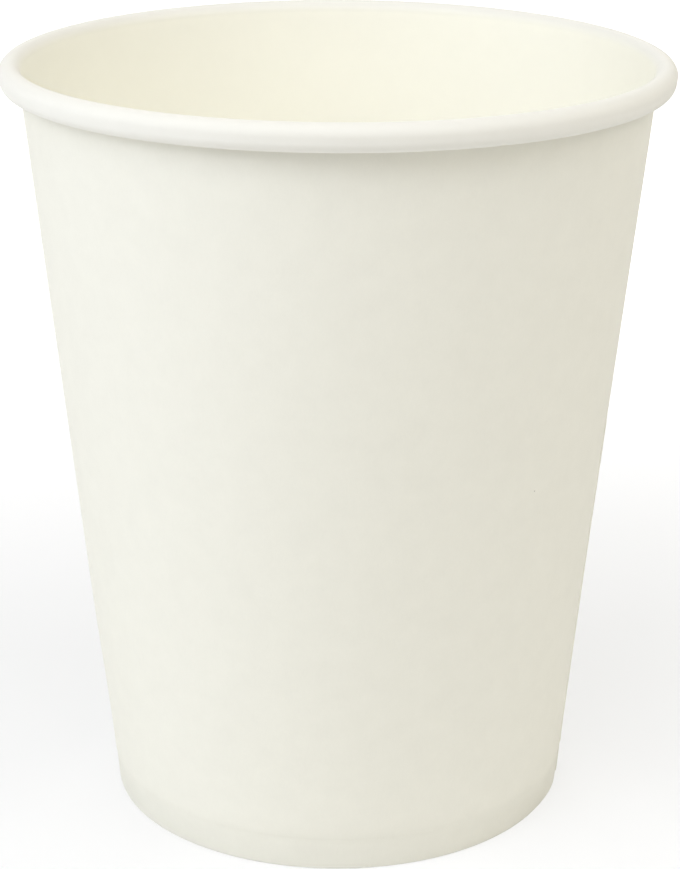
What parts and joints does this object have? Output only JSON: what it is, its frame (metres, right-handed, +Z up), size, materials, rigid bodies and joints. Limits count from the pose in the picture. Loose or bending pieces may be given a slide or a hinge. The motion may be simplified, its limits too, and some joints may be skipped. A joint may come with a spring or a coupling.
{
  "type": "paper coffee cup",
  "caption": "Plain white single-wall paper cup with a rolled rim, a lapped side seam and a recessed bottom disc, open at the top to hold a hot drink.",
  "frame": {"origin": "centre of the foot, on the surface that the cup stands on", "axes": "+Z up along the cup's axis; the edge of the side seam that shows inside lies 4 degrees from +X towards -Y, and the lap runs on from there towards +Y"},
  "size_m": [0.08, 0.08, 0.093],
  "materials": {
    "sidewall_board": "uncoated matte white board outside, thin coated satin face inside and over the rim",
    "disc_board": "thin coated satin face above, matte board below"
  },
  "bodies": {
    "root": {"sidewall": "sidewall_board", "bottom_disc": "disc_board"}
  },
  "joints": []
}
